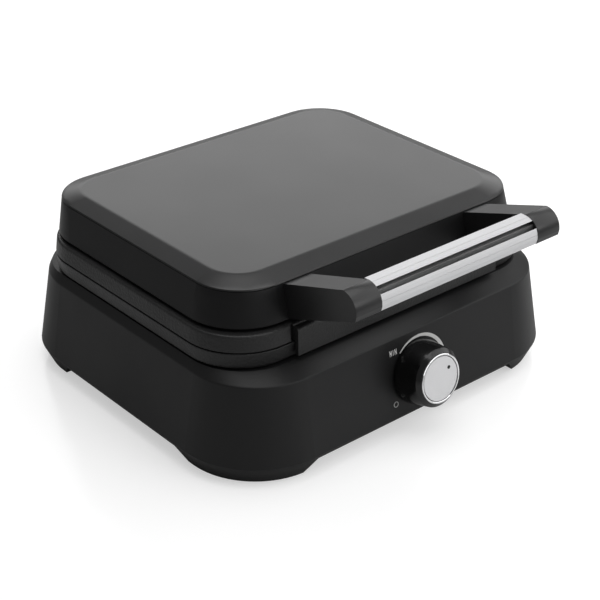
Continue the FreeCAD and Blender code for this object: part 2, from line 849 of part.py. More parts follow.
shield_clear = 0.6
boss_length = shield_clear + size("shield_depth") - size("shield_sheet")
waffle_plate("lower_plate", lower_face, lower_back, False)
upper_plate = waffle_plate("upper_plate", upper_face, upper_back, True)

# the upper plate's front lip hangs over the seam between the plates
plate_front = size("plate_front")
lip_half, lip_low = size("lip_width") / 2, seam - size("lip_drop")
lip_high = upper_back - size("lip_top_gap")
lip_back = plate_front + size("lip_clear")
for side in (-1, 1):
    near, far = side * lip_half, side * (lip_half + size("lip_notch"))
    notch = polygon(
        upper_plate, "lip_notch_outline_%d" % (side + 2), "XY_Plane",
        ((near, -plate_front - 1), (far, -plate_front - 1), (far, -plate_front + 3), (near, -plate_front + 3)),
        upper_back + 1,
    )
    extrude(upper_plate, "Pocket", "lip_notch_%d" % (side + 2), notch, plate_thick + 2)
lip = polygon(
    upper_plate, "lip_outline", "YZ_Plane",
    ((-size("lip_front"), lip_low), (-size("lip_front") + 0.5, lip_high), (-plate_front + 4, lip_high),
     (-plate_front + 4, upper_face), (-lip_back, upper_face), (-lip_back, lip_low)),
)
extrude(upper_plate, "Pad", "lip", lip, size("lip_width"), both=True)
fillet(upper_plate, "lip_rounding", upper_plate.Tip, 2.2, along_x(0.5 - size("lip_front"), lip_high))

deck_gap, ring_gap = size("deck_gap"), size("ring_gap")
for name, level, height in (("lower", deck_level, deck_gap), ("upper", upper_back, ring_gap)):
    washers = []
    for i, (x, y, z) in enumerate(plate_spots, start=1):
        label = "%s_spacer_%d" % (name, i)
        washers.append(cut(
            label,
            cylinder(label + "_disc", size("screw_head"), height, x, y, level),
            cylinder(label + "_hole", screw_hole, height, x, y, level),
        ))
    group(name + "_plate_spacers", washers)
screws(
    "lower_plate_screws", [(x, y, deck_level - wall) for x, y, z in plate_spots],
    wall + deck_gap + size("plate_screw_depth") - 1,
)
ring_floor = size("ring_floor")
screws(
    "upper_plate_screws", [(x, y, ring_low + ring_floor) for x, y, z in plate_spots],
    ring_floor + ring_gap + size("plate_screw_depth") - 1, up=False,
)

# ---------------------------------------------------------------- heating elements and heat shields

tube = size("tube_radius")
element_x, element_front, element_back = (size("element_" + word) for word in ("half_width", "front", "back"))
bend, tail = size("element_bend"), size("element_tail")


def heating_element(name, level):
    """A sheathed tube bent round the plate, open at the back between its two ends."""
    element = new_body(name)
    path = new_sketch(element, name + "_path", "XY_Plane", level)
    x, f, b, r, t = (item.value for item in (element_x, element_front, element_back, bend, tail))
    corners = ((-x + r, b - r, 90), (-x + r, -f + r, 180), (x - r, -f + r, 270), (x - r, b - r, 0))
    for cx, cy, start in corners:
        circle = Part.Circle(Vector(cx, cy, 0), Vector(0, 0, 1), r)
        path.addGeometry(Part.ArcOfCircle(circle, math.radians(start), math.radians(start + 90)), False)
    runs = (
        ((-t, b), (-x + r, b)), ((-x, b - r), (-x, -f + r)), ((-x + r, -f), (x - r, -f)),
        ((x, -f + r), (x, b - r)), ((x - r, b), (t, b)),
    )
    for start, end in runs:
        path.addGeometry(Part.LineSegment(Vector(*start, 0), Vector(*end, 0)), False)
    for i in range(4):
        path.addConstraint(Sketcher.Constraint("Tangent", 4 + i, 2, i, 1))
        path.addConstraint(Sketcher.Constraint("Tangent", i, 2, 5 + i, 1))
        path.addConstraint(Sketcher.Constraint("Horizontal" if i % 2 == 0 else "Vertical", 4 + i))
    path.addConstraint(Sketcher.Constraint("Horizontal", 8))
    for i in range(1, 4):
        path.addConstraint(Sketcher.Constraint("Equal", 0, i))
    rules = (
        (Sketcher.Constraint("Radius", 0, r), bend),
        (Sketcher.Constraint("DistanceX", 4, 1, -1, 1, t), tail),
        (Sketcher.Constraint("DistanceX", -1, 1, 8, 2, t), tail),
        (Sketcher.Constraint("DistanceX", 5, 1, -1, 1, x), element_x),
        (Sketcher.Constraint("DistanceX", -1, 1, 7, 1, x), element_x),
        (Sketcher.Constraint("DistanceY", -1, 1, 4, 1, b), element_back),
        (Sketcher.Constraint("DistanceY", 6, 1, -1, 1, f), element_front),
    )
    for rule, amount in rules:
        bind(path, "Constraints[%d]" % path.addConstraint(rule), amount)
    section = circles(element, name + "_section", "YZ_Plane", -tail, [(element_back, level)], tube)
    pipe = element.newObject("PartDesign::AdditivePipe", name + "_tube")
    pipe.Profile = section
    pipe.Spine = path
    return element


tube_gap = 0.05
heating_element("lower_element", lower_back - tube - tube_gap)
heating_element("upper_element", upper_back + tube + tube_gap)

shield_depth, sheet_thick = size("shield_depth"), size("shield_sheet")
SHIELD = (
    size("shield_half_width"), size("shield_front"), size("shield_back"), size("shield_corner"),
)


def heat_shield(name, rim, up):
    """A shallow sheet pan behind the element, open towards the plate and held by one screw."""
    shield = new_body(name)
    away = 1 if up else -1
    extrude(
        shield, "Pad", name + "_blank",
        rounded(shield, name + "_outline", rim, SHIELD), shield_depth, back=not up,
    )
    extrude(
        shield, "Pocket", name + "_inside",
        rounded(shield, name + "_inner", rim, grown(SHIELD, -sheet_thick)), shield_depth - sheet_thick, back=up,
    )
    extrude(
        shield, "Pocket", name + "_screw_hole",
        circles(shield, name + "_hole_circle", "XY_Plane", rim, [(0, 0)], screw_hole), shield_depth * 2, back=up,
    )
    return shield


heat_shield("lower_heat_shield", lower_back - shield_clear, False)
heat_shield("upper_heat_shield", upper_back + shield_clear, True)
screws("lower_shield_screw", [(0, 0, lower_back - shield_clear - shield_depth)], sheet_thick + 8)
screws("upper_shield_screw", [(0, 0, upper_back + shield_clear + shield_depth)], sheet_thick + 8, up=False)

# ---------------------------------------------------------------- lid ring and top cover

ring = new_body("lid_ring")
ring_wall = size("ring_wall")
ring_shelf = ring_low + ring_floor
foot_edge = ring_low + size("ring_foot_edge")
loft(
    ring, "AdditiveLoft", "ring_outside",
    *eased((ring_low, grown(RING_LOW, -size("ring_foot_edge"))), (ring_low, RING_LOW), (foot_edge, ring_at(foot_edge))),
    (ring_level, RING_HIGH),
)
loft(
    ring, "SubtractiveLoft", "ring_inside",
    (ring_shelf, grown(ring_at(ring_shelf), -ring_wall)), (ring_level, grown(RING_HIGH, -ring_wall)),
)
extrude(ring, "Pocket", "ring_window", rounded(ring, "ring_window_outline", ring_shelf, WINDOW), ring_floor * 2)
lid_posts = four(size("lid_post_x"), size("lid_post_front"), size("lid_post_back"), ring_low)
post_spots = [p[:2] for p in lid_posts]
post_top = size("lid_post_top")
head_seat = size("screw_head_height") + 0.3
for kind, name, level, radius, length, back in (
    ("Pad", "lid_posts", ring_low, size("lid_post_radius"), post_top - ring_low, False),
    ("Pocket", "lid_post_holes", ring_low, screw_hole, post_top - ring_low, True),
    ("Pocket", "lid_post_heads", ring_low, size("screw_head") + 0.2, head_seat, True),
):
    outline = circles(ring, name + "_circles", "XY_Plane", level, post_spots, radius)
    extrude(ring, kind, name, outline, length, back=back)
extrude(
    ring, "Pocket", "ring_plate_screw_holes",
    circles(ring, "ring_plate_circles", "XY_Plane", ring_shelf, [p[:2] for p in plate_spots], screw_hole),
    ring_floor * 2,
)

arm_inner, arm_outer = size("arm_inner"), size("arm_outer")
arm_middle = (arm_inner + arm_outer) / 2
arm_levels = (size("arm_screw_low"), size("arm_screw_high"))
hinge_levels = (size("hinge_screw_low"), size("hinge_screw_high"))
handle_spots = [(side * arm_middle, level) for side in (-1, 1) for level in arm_levels]
hinge_spots = [(side * knuckle_middle, level) for side in (-1, 1) for level in hinge_levels]
extrude(
    ring, "Pocket", "handle_screw_holes",
    circles(ring, "handle_screw_circles", "XZ_Plane", RING_HIGH[1], handle_spots, screw_hole), 20, both=True,
)
extrude(
    ring, "Pocket", "hinge_screw_holes",
    circles(ring, "hinge_screw_circles", "XZ_Plane", -RING_HIGH[2], hinge_spots, screw_hole), 20, both=True,
)

top = new_body("lid_top_cover")
cover_low = ring_level + size("cover_gap")
cover_top = size("cover_top")
COVER_TOP = (
    RING_HIGH[0] - size("cover_bevel_side"),
    RING_HIGH[1] - size("cover_bevel_front"),
    RING_HIGH[2] - size("cover_bevel_back"),
    size("cover_corner"),
)
cover_wall = size("cover_wall")
rim_slack = size("rim_slack")
cover_edge = cover_low + size("cover_edge")
COVER_EDGE = grown(RING_HIGH, -size("cover_edge") / 2)
bevel_end = cover_top - size("cover_crease_drop")
rim_outside = grown(RING_HIGH, -ring_wall - rim_slack)
loft(
    top, "AdditiveLoft", "cover_outside",
    (cover_low, RING_HIGH), (cover_edge, COVER_EDGE),
    *eased(
        (bevel_end, between(COVER_EDGE, COVER_TOP, cover_edge, cover_top, bevel_end)), (cover_top, COVER_TOP),
        (cover_top, grown(COVER_TOP, -size("cover_crease"))), 3,
    ),
)
loft(
    top, "SubtractiveLoft", "cover_inside",
    (cover_low, rim_outside), (cover_top - cover_wall, grown(COVER_TOP, -1)),
)
extrude(
    top, "Pad", "cover_rim",
    rounded(top, "rim_outline", cover_low - size("cover_rim"), rim_outside), size("cover_rim") + 0.5,
)
extrude(
    top, "Pocket", "cover_rim_inside",
    rounded(top, "rim_inner", cover_low - size("cover_rim"), grown(rim_outside, -1.6)),
    size("cover_rim") + 1, back=True,
)
boss_low = post_top + 0.1
extrude(
    top, "Pad", "cover_bosses",
    circles(top, "cover_boss_circles", "XY_Plane", boss_low, post_spots, size("lid_post_radius")),
    cover_low + 1 - boss_low,
)
extrude(
    top, "Pocket", "cover_boss_holes",
    circles(top, "cover_boss_hole_circles", "XY_Plane", boss_low, post_spots, screw_hole), 4.8, back=True,
)
lid_seat = ring_low + head_seat
screws("lid_screws", [(x, y, lid_seat) for x, y, z in lid_posts], boss_low + 4 - lid_seat)

# ---------------------------------------------------------------- handle

reach, handle_top, under = size("handle_reach"), size("handle_top"), size("arm_under")
nose = size("nose_radius")
arm_low, arm_high = ring_low + 0.4, ring_level - 0.2
arm_low_y, arm_high_y = -ring_at(arm_low)[1], -ring_at(arm_high)[1]
under_y = 0.8 - reach
under_slope = (under - arm_low) / (arm_low_y - under_y)
core_back, core_front = size("core_back"), size("core_front")
core_low, core_high = size("core_low"), size("core_high")
core_seat, seat_play = size("core_seat"), size("seat_play")

for name, start, seat_x, outward in (
    ("handle_arm_left", -arm_outer, -arm_inner, False),
    ("handle_arm_right", arm_inner, arm_inner, True),
):
    arm = new_body(name)
    side_view = polygon(
        arm, name + "_side", "YZ_Plane",
        ((arm_low_y, arm_low), (under_y, under), (-reach, under + 3.5), (-reach, handle_top),
         (-size("arm_crease"), handle_top), (arm_high_y, arm_high)),
        start,
    )
    extrude(arm, "Pad", name + "_blank", side_view, arm_outer - arm_inner)
    fillet(arm, name + "_nose", arm.Tip, nose, along_x(-reach, handle_top))
    fillet(arm, name + "_chin", arm.Tip, 1.5, along_x(under_y, under))
    seat = polygon(
        arm, name + "_core_seat_outline", "YZ_Plane",
        ((-core_front - seat_play, core_low - seat_play), (-core_back + seat_play, core_low - seat_play),
         (-core_back + seat_play, core_high + seat_play), (-core_front - seat_play, core_high + seat_play)),
        seat_x,
    )
    extrude(arm, "Pocket", name + "_core_seat", seat, core_seat + 0.2, back=outward)
    middle = arm_middle if outward else -arm_middle
    extrude(
        arm, "Pocket", name + "_screw_holes",
        circles(arm, name + "_screw_circles", "XZ_Plane", RING_HIGH[1] - 2, [(middle, z) for z in arm_levels], screw_hole),
        17, back=True,
    )

inset, sleeve_wall = size("sleeve_inset"), size("sleeve_wall")
sleeve_back = size("sleeve_back")


def sleeve_outline(body, name, by):
    """The D-shaped section of the grip, moved inwards by a distance."""
    low_back = under - under_slope * (-under_y - sleeve_back) + by * 1.1
    return polygon(
        body, name, "YZ_Plane",
        ((-sleeve_back - by, low_back), (under_y + by, under + by), (-reach + by, under + 3.5),
         (-reach + by, handle_top - by), (-sleeve_back - by, handle_top - by)),
    )


sleeve = new_body("handle_sleeve")
sleeve_length = (arm_inner - 0.1) * 2
extrude(sleeve, "Pad", "sleeve_blank", sleeve_outline(sleeve, "sleeve_outside", inset), sleeve_length, both=True)
fillet(sleeve, "sleeve_nose", sleeve.Tip, nose - inset, along_x(-reach + inset, handle_top - inset))
hollow = inset + sleeve_wall
extrude(sleeve, "Pocket", "sleeve_hollow", sleeve_outline(sleeve, "sleeve_inside", hollow), sleeve_length + 2, both=True)
line_y, line_z = -reach + inset, size("sleeve_line")
for name, corner, far in (
    ("front_line", (line_y - 1, line_z - 0.2), (line_y + 0.45, line_z + 0.2)),
    ("top_line", (0.25 - nose - reach + nose * 2 - 3, handle_top - inset - 0.55), (0.5 - reach + nose - 3, handle_top + 1)),
):
    groove = polygon(sleeve, name + "_outline", "YZ_Plane", (corner, (far[0], corner[1]), far, (corner[0], far[1])))
    extrude(sleeve, "Pocket", name, groove, sleeve_length + 2, both=True)

node("handle_core", block(
    "handle_core", (arm_inner + core_seat) * 2, core_front - core_back, core_high - core_low,
    -arm_inner - core_seat, -core_front, core_low,
))
wall_slack = 0.8
cross_screws(
    "handle_screws",
    [(x, -(ring_at(z)[1] - ring_wall) + wall_slack, z) for x, z in handle_spots], wall_slack + ring_wall + 8, True,
)

# ---------------------------------------------------------------- hinge

# brackets on the deck: a foot with two ears, one on each side of the lid's knuckle
bracket_foot = size("bracket_foot")
for name, start in (("hinge_bracket_left", -ear_inner - bracket_width), ("hinge_bracket_right", ear_inner)):
    bracket = new_body(name)
    foot = polygon(
        bracket, name + "_foot_side", "YZ_Plane",
        ((foot_front, deck_level), (DECK[2], deck_level), (DECK[2], deck_level + bracket_foot),
         (foot_front, deck_level + bracket_foot)),
        start,
    )
    extrude(bracket, "Pad", name + "_foot", foot, bracket_width)
    for ear_name, ear_start in (("_near_ear", start), ("_far_ear", start + ear_thick + ear_gap)):
        outline = polygon(
            bracket, name + ear_name + "_side", "YZ_Plane",
            ((hinge_y - ear, deck_level), (DECK[2], deck_level), (hinge_y + ear, deck_level + ear),
             (hinge_y + ear, hinge_z), (hinge_y - ear, hinge_z)),
            ear_start,
        )
        extrude(bracket, "Pad", name + ear_name, outline, ear_thick)
        crown = circles(bracket, name + ear_name + "_circle", "YZ_Plane", ear_start, [(hinge_y, hinge_z)], ear)
        extrude(bracket, "Pad", name + ear_name + "_crown", crown, ear_thick)
    pin_hole = circles(
        bracket, name + "_pin_circle", "YZ_Plane", start, [(hinge_y, hinge_z)],
        size("pin_radius") + size("seat_play"),
    )
    extrude(bracket, "Pocket", name + "_pin_hole", pin_hole, bracket_width, back=True)
    spots = [(x, y) for x, y, z in bracket_spots if (x.value > 0) == (start.value > 0)]
    extrude(
        bracket, "Pocket", name + "_screw_hole",
        circles(bracket, name + "_screw_circle", "XY_Plane", deck_level, spots, screw_hole),
        bracket_foot - 0.5, back=True,
    )
screws("hinge_bracket_screws", bracket_spots, wall + bracket_foot - 0.7)

play = size("knuckle_play")
plate_low, plate_high = size("arm_plate_low"), size("arm_plate_high")
for name, start in (
    ("hinge_arm_left", -(knuckle_middle + ear_gap / 2 - play)),
    ("hinge_arm_right", knuckle_middle - ear_gap / 2 + play),
):
    knuckle = new_body(name)
    web = polygon(
        knuckle, name + "_side", "YZ_Plane",
        ((ring_at(plate_low)[2], plate_low), (hinge_y - 5, hinge_z + 1), (hinge_y + 5.6, hinge_z + 1),
         (ring_at(plate_high)[2] + size("arm_plate_thick"), plate_high), (ring_at(plate_high)[2], plate_high)),
        start,
    )
    extrude(knuckle, "Pad", name + "_web", web, ear_gap - play * 2)
    for kind, feature, radius in (("Pad", "_barrel", ear - 0.2), ("Pocket", "_bore", size("pin_radius") + size("running_play"))):
        round_outline = circles(knuckle, name + feature + "_circle", "YZ_Plane", start, [(hinge_y, hinge_z)], radius)
        extrude(knuckle, kind, name + feature, round_outline, ear_gap - play * 2, back=kind == "Pocket")
    middle = start + ear_gap / 2 - play
    extrude(
        knuckle, "Pocket", name + "_screw_holes",
        circles(knuckle, name + "_screw_circles", "XZ_Plane", -RING_HIGH[2], [(middle, z) for z in hinge_levels], screw_hole),
        5,
    )
cross_screws(
    "hinge_screws",
    [(x, ring_at(z)[2] - ring_wall - 0.3, z) for x, z in hinge_spots], ring_wall + 3, False,
)
group("hinge_pins", [
    sideways(cylinder("hinge_pin_left", size("pin_radius"), bracket_width, -ear_inner - bracket_width, hinge_y, hinge_z)),
    sideways(cylinder("hinge_pin_right", size("pin_radius"), bracket_width, ear_inner, hinge_y, hinge_z)),
])

# ---------------------------------------------------------------- knob

knob_radius, knob_gap, length = size("knob_radius"), size("knob_gap"), size("knob_length")
trim, disc = size("trim_radius"), size("disc_radius")
shaft_end = length - 6
knob_foot = knob_radius + size("knob_flare")
recess = length - 1.6
hub, bore, hub_low = size("shaft_radius") * 2, size("shaft_radius") + seat_play, 3.8
knob = new_body("control_knob")
on_front_wall(knob)
turned(knob, "knob_shell", (
    (0, shaft_end + 0.2), (0, recess), (trim + seat_play, recess), (trim + seat_play, length - 0.3),
    (trim + 0.5, length - 0.3), (knob_radius - 0.5, length - size("knob_bevel")), (knob_foot, knob_gap + 0.6),
    (knob_foot - 0.5, knob_gap), (knob_radius - 2, knob_gap), (knob_radius - 2, length - 4.5), (hub, length - 4.5),
    (hub, hub_low), (bore, hub_low), (bore, shaft_end + 0.2),
))
trim_ring = new_body("knob_trim_ring")
on_front_wall(trim_ring)
trim_inner = trim - size("trim_width")
turned(trim_ring, "trim_section", (
    (trim_inner, recess + seat_play), (trim, recess + seat_play), (trim, length), (trim - 0.4, length + 0.25),
    (trim_inner + 0.3, length + 0.2), (trim_inner, length - 0.1),
))
face = new_body("knob_disc")
on_front_wall(face)
disc_top = length - 0.15
turned(face, "disc_section", ((0, recess + seat_play), (disc, recess + seat_play), (disc, disc_top), (0, disc_top)))
dot_x = size("dot_place") * cosine(size("dot_angle"))
dot_y = size("dot_place") * sine(size("dot_angle"))
extrude(
    face, "Pocket", "dot_seat",
    circles(face, "dot_seat_circle", "XY_Plane", disc_top, [(dot_x, dot_y)], size("dot_radius") + seat_play), 0.8,
)
dot = new_body("knob_pointer")
on_front_wall(dot)
extrude(
    dot, "Pad", "dot_inlay",
    circles(dot, "dot_circle", "XY_Plane", disc_top - 0.78, [(dot_x, dot_y)], size("dot_radius")), 0.83,
)

# ---------------------------------------------------------------- thermostat

stem = new_body("thermostat_shaft")
on_front_wall(stem)
bush_depth = wall + 8
extrude(
    stem, "Pad", "stem_rod",
    circles(stem, "stem_circle", "XY_Plane", -bush_depth + 0.5, [(0, 0)], size("shaft_radius")),
    shaft_end + bush_depth - 0.5,
)
control = new_body("thermostat_body")
on_front_wall(control)
half_body, body_depth = size("thermostat_width") / 2, size("thermostat_depth")
case = polygon(
    control, "case_outline", "XY_Plane",
    ((-half_body, -half_body), (half_body, -half_body), (half_body, half_body), (-half_body, half_body)), -wall,
)
extrude(control, "Pad", "thermostat_case", case, body_depth, back=True)
bush_top = 3.0
bush = circles(control, "bush_circle", "XY_Plane", -wall - 1, [(0, 0)], size("bush_radius"))
extrude(control, "Pad", "thermostat_bush", bush, wall + 1 + bush_top)
stem_bore = circles(control, "stem_bore_circle", "XY_Plane", bush_top, [(0, 0)], size("shaft_radius") + size("running_play"))
extrude(control, "Pocket", "stem_bore", stem_bore, bush_top + bush_depth)

nut = new_body("thermostat_nut")
on_front_wall(nut)
nut_radius = size("bush_radius") * 1.55
hexagon = [
    (nut_radius * cosine(as_size(60 * i + 30)), nut_radius * sine(as_size(60 * i + 30))) for i in range(6)
]
extrude(nut, "Pad", "nut_blank", polygon(nut, "nut_outline", "XY_Plane", hexagon, 0.05), 2.3)
nut_bore = circles(nut, "nut_bore_circle", "XY_Plane", 3, [(0, 0)], size("bush_radius") + seat_play)
extrude(nut, "Pocket", "nut_bore", nut_bore, 4)

# ---------------------------------------------------------------- dial print on the front wall

letter_width, letter_height, line = size("letter_width"), size("letter_height"), size("letter_line")
print_height = size("print_height")
STROKES = {
    "M": ((0, 0, 0, 1), (0, 1, 0.5, 0.35), (0.5, 0.35, 1, 1), (1, 1, 1, 0)),
    "I": ((0.5, 0, 0.5, 1),),
    "N": ((0, 0, 0, 1), (0, 1, 1, 0), (1, 0, 1, 1)),
    "A": ((0, 0, 0.5, 1), (0.5, 1, 1, 0), (0.2, 0.35, 0.8, 0.35)),
    "X": ((0, 0, 1, 1), (0, 1, 1, 0)),
}


def flat(piece, x, y):
    """Place a print piece on the wall's own plane."""
    bind(piece, "Placement.Base.x", x)
    bind(piece, "Placement.Base.y", y)
    return piece


def stroke(name, x0, y0, x1, y1):
    """One straight stroke of a letter."""
    run, rise = (x1 - x0).value, (y1 - y0).value
    angle = math.degrees(math.atan2(rise, run))
    bar = doc.addObject("Part::Box", name)
    bar.Length = math.hypot(run, rise) + SIZES["letter_line"]
    bind(bar, "Width", line)
    bind(bar, "Height", print_height)
    bar.Placement.Rotation = Rotation(Vector(0, 0, 1), angle)
    turn = as_size(angle)
    back_x = (cosine(turn) - sine(turn)) * line / 2
    back_y = (cosine(turn) + sine(turn)) * line / 2
    return flat(bar, x0 - back_x, y0 - back_y)


def word(text, x, y):
    """Letters side by side, each one a solid of its own."""
    letters = []
    for i, letter in enumerate(text):
        left = x + size("letter_pitch") * i
        bars = [
            stroke("%s_%s_%d" % (text, letter, k), left + letter_width * a, y + letter_height * b,
                   left + letter_width * c, y + letter_height * d)
            for k, (a, b, c, d) in enumerate(STROKES[letter])
        ]
        letters.append(bars[0] if len(bars) == 1 else joined("%s_%s" % (text, letter), *bars))
    return letters


def print_disc(name, radius, x, y, sweep=None):
    """A flat disc, or a slice of one."""
    piece = doc.addObject("Part::Cylinder", name)
    bind(piece, "Radius", radius)
    bind(piece, "Height", print_height)
    if sweep is not None:
        bind(piece, "Angle", sweep)
        piece.Placement.Rotation = Rotation(Vector(0, 0, 1), SIZES["arc_start"])
    return flat(piece, x, y)


arc_cos, arc_sin = cosine(size("arc_side")), sine(size("arc_side"))
outer_shift, inner_shift = size("arc_outer_shift"), size("arc_inner_shift")
heat_arc = cut(
    "heat_arc",
    print_disc("arc_outer_disc", size("arc_outer"), outer_shift * arc_cos, outer_shift * arc_sin, size("arc_sweep")),
    print_disc("arc_inner_disc", size("arc_inner"), inner_shift * arc_cos, inner_shift * arc_sin),
)
ring_x, ring_y, ring_radius = size("print_ring_x"), size("print_ring_y"), size("print_ring_radius")
off_ring = cut(
    "off_ring",
    print_disc("off_outer", ring_radius, -ring_x, ring_y),
    print_disc("off_inner", ring_radius - line, -ring_x, ring_y),
)
marks = group("dial_markings", [heat_arc, off_ring] + word("MIN", -size("label_x"), size("label_y"))
              + word("MAX", ring_x - 3.5, ring_y - 2))
on_front_wall(marks)

# ---------------------------------------------------------------- parts inside the base

sensor = new_body("thermostat_sensor")
sensor_x, sensor_y, sensor_low = as_size(8), size("shield_front") + 3.2, knob_level + 4
bend_radius = 6
path = new_sketch(sensor, "sensor_path", "YZ_Plane", sensor_x)
start_y, top_z = sensor_y + 19, lower_back - 0.1
sy, ey, lz, tz = -start_y.value, -sensor_y.value, sensor_low.value, top_z.value
path.addGeometry(Part.LineSegment(Vector(sy, lz, 0), Vector(ey - bend_radius, lz, 0)), False)
turn_circle = Part.Circle(Vector(ey - bend_radius, lz + bend_radius, 0), Vector(0, 0, 1), bend_radius)
path.addGeometry(Part.ArcOfCircle(turn_circle, -math.pi / 2, 0), False)
path.addGeometry(Part.LineSegment(Vector(ey, lz + bend_radius, 0), Vector(ey, tz, 0)), False)
path.addConstraint(Sketcher.Constraint("Tangent", 0, 2, 1, 1))
path.addConstraint(Sketcher.Constraint("Tangent", 1, 2, 2, 1))
path.addConstraint(Sketcher.Constraint("Horizontal", 0))
path.addConstraint(Sketcher.Constraint("Vertical", 2))
path.addConstraint(Sketcher.Constraint("Radius", 1, bend_radius))
pin_point(path, 0, 1, -start_y, sensor_low)
pin_point(path, 2, 2, -sensor_y, top_z)
section = circles(sensor, "sensor_section", "XZ_Plane", start_y, [(sensor_x, sensor_low)], 1.5)
rod = sensor.newObject("PartDesign::AdditivePipe", "sensor_rod")
rod.Profile = section
rod.Spine = path

shield_low = lower_back - shield_clear - shield_depth
fuse_x = as_size(50)
node("thermal_fuse", joined(
    "thermal_fuse",
    sideways(cylinder("fuse_case", 2.2, 11, fuse_x, 0, shield_low - 2.3)),
    sideways(cylinder("fuse_leads", 0.5, 29, fuse_x - 9, 0, shield_low - 2.3)),
))
block_x, block_y = as_size(-88), as_size(84)
terminal = block("terminal_case", 40, 16, 12, block_x, block_y, skirt_top)
for i in range(3):
    channel = cylinder("terminal_hole_%d" % (i + 1), 2.2, 20, block_x + 8 + 12 * i, block_y + 18, skirt_top + 6)
    channel.Placement.Rotation = Rotation(Vector(1, 0, 0), 90)
    terminal = cut("terminal_step_%d" % (i + 1), terminal, channel)
node("terminal_block", terminal)

gland = new_body("cord_gland")
gland_level, gland_radius = size("gland_level"), size("gland_radius")
place(gland, size("gland_x"), base_at(gland_level)[2], gland_level)
gland.Placement.Rotation = Rotation(Vector(-1, 0, 0), 90 - front_tilt.value)
bind(gland, "Placement.Rotation.Angle", 90 - front_tilt)
flange = gland_radius + 3
turned(gland, "gland_section", (
    (gland_radius / 2, -8), (gland_radius, -8), (gland_radius, seat_play), (flange, seat_play),
    (flange, 1.0), (flange - 0.6, 1.5), (gland_radius - 1, 1.6), (gland_radius - 2, 2.4), (gland_radius / 2, 2.4),
))


# ---------------------------------------------------------------- checks and files

doc.recompute()
for item in doc.Objects:
    if "Invalid" in item.State or "Error" in item.State:
        raise RuntimeError("%s is %s" % (item.Label, item.State))
os.makedirs("parts", exist_ok=True)
for name, item in NODES.items():
    if item.Shape.isNull() or not item.Shape.isValid():
        raise RuntimeError(name + " has no valid shape")
    item.Shape.exportStep("parts/%s.step" % name)
print(len(NODES), "pieces written")
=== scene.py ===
# %% [markdown]
# # A waffle maker, dressed for the studio
# The moulded shells, the cast plates, the hinge, the handle and the knob were all designed as solids, in
# real sizes, and they arrive here as a fixed frame: one object for each piece, in metres, with the front
# towards -Y and the table at Z = 0.  This lesson gives every piece the surface it has in real life, softens
# the edges that a mould leaves soft, and then sets up the studio.

# %% Load the pieces
import bpy
import json
import math
from mathutils import Matrix, Vector


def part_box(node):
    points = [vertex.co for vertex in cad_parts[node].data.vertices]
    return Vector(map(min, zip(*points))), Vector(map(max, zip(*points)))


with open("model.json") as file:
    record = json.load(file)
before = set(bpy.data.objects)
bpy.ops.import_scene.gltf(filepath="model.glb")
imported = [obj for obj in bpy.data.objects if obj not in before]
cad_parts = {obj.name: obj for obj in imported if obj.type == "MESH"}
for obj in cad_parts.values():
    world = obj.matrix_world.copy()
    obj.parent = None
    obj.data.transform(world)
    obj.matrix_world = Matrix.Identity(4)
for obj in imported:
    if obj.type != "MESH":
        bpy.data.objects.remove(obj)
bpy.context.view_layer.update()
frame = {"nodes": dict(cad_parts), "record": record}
nodes = frame["nodes"]


# %% [markdown]
# ## Building blocks for materials
# Real plastic is never one flat colour.  Each finish below is a Principled shader fed by small procedural
# patterns, measured in real units because the texture coordinates are the piece's own metres.  Patterns
# that many finishes share are node groups, so that they are built once and only their sizes change.

# %% Small helpers for node trees


def new_group(name, inputs, outputs):
    """An empty node group with its sockets, and its input and output nodes."""
    tree = bpy.data.node_groups.new(name, "ShaderNodeTree")
    for label, kind, value in inputs:
        socket = tree.interface.new_socket(label, in_out="INPUT", socket_type=kind)
        if value is not None:
            socket.default_value = value
    for label, kind in outputs:
        tree.interface.new_socket(label, in_out="OUTPUT", socket_type=kind)
    return tree, tree.nodes.new("NodeGroupInput"), tree.nodes.new("NodeGroupOutput")


def add(tree, kind, links=(), **settings):
    """A node with its settings, its fixed inputs and its incoming links."""
    made = tree.nodes.new(kind)
    for key, value in settings.items():
        setattr(made, key, value)
    for socket, source in links:
        if hasattr(source, "is_output"):
            tree.links.new(source, made.inputs[socket])
        else:
            made.inputs[socket].default_value = source
    return made


# Nearly all of a noise's values lie between these two.
NOISE_LOW, NOISE_HIGH = 0.3, 0.7


def ramp(tree, source, low, high, start, end):
    """Rescale a value from one range to another, kept inside its ends."""
    made = add(tree, "ShaderNodeMapRange", [(0, source), (1, low), (2, high), (3, start), (4, end)])
    return made.outputs[0]


# %% [markdown]
# ### Moulded grain
# A mould is spark-eroded or blasted, which prints a fine, even grain on the plastic, and the plastic cools a
# little unevenly, which leaves broad, faint changes of gloss and tint.  A fine noise with small cells added to
# it gives the height, and a slow noise gives the broad changes.

# %% The grain that a mould leaves
grain, g_in, g_out = new_group(
    "moulded_grain",
    [("Place", "NodeSocketVector", None), ("Grains per metre", "NodeSocketFloat", 2200.0),
     ("Patches per metre", "NodeSocketFloat", 18.0)],
    [("Height", "NodeSocketFloat"), ("Patches", "NodeSocketFloat")],
)
fine = add(
    grain, "ShaderNodeTexNoise",
    [("Vector", g_in.outputs[0]), ("Scale", g_in.outputs[1]), ("Detail", 3.0)],
)
cells = add(grain, "ShaderNodeTexVoronoi", [("Vector", g_in.outputs[0]), ("Scale", g_in.outputs[1])])
mixed = add(grain, "ShaderNodeMath", [(0, fine.outputs[0]), (1, cells.outputs[0])], operation="ADD")
slow = add(
    grain, "ShaderNodeTexNoise",
    [("Vector", g_in.outputs[0]), ("Scale", g_in.outputs[2]), ("Detail", 4.0)],
)
grain.links.new(mixed.outputs[0], g_out.inputs[0])
grain.links.new(slow.outputs[0], g_out.inputs[1])
print("group:", grain.name)

